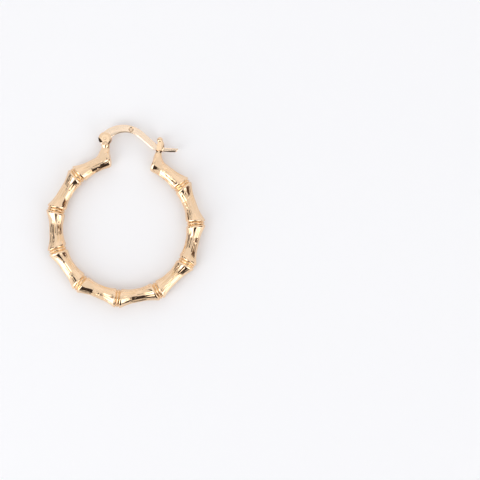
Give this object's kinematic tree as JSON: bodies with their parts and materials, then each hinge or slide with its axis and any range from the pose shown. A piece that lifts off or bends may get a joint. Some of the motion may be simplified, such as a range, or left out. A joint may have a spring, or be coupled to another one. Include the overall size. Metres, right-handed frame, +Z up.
{
  "type": "bamboo hoop earring",
  "caption": "Polished gold-coloured hoop earring cast like jointed bamboo, with a flat arched ear wire that hinges at one end and snaps into a fork at the other.",
  "frame": {"origin": "under the middle of the whole closed earring, on the surface that it lies on", "axes": "+X across the hoop from the hinge to the catch, +Y from the bottom of the hoop to the ear wire, +Z up from the surface, along the hinge pin"},
  "size_m": [0.0358, 0.041, 0.0041],
  "materials": {
    "polished_gold": "high polish, with fine engraved bark lines and a deeper gold in the grooves",
    "wire_gold": "smooth polish with a faint drawn grain"
  },
  "bodies": {
    "hoop_body": {"hoop": "polished_gold", "hinge_pin": "polished_gold"},
    "wire_body": {"ear_wire": "wire_gold"}
  },
  "joints": [
    {"name": "ear_wire_hinge", "type": "hinge", "parent": "hoop_body", "child": "wire_body", "pos_m": [-0.00635, 0.01692, 0.00205], "axis": [0, 0, 1], "range_deg": [0, 80]}
  ]
}
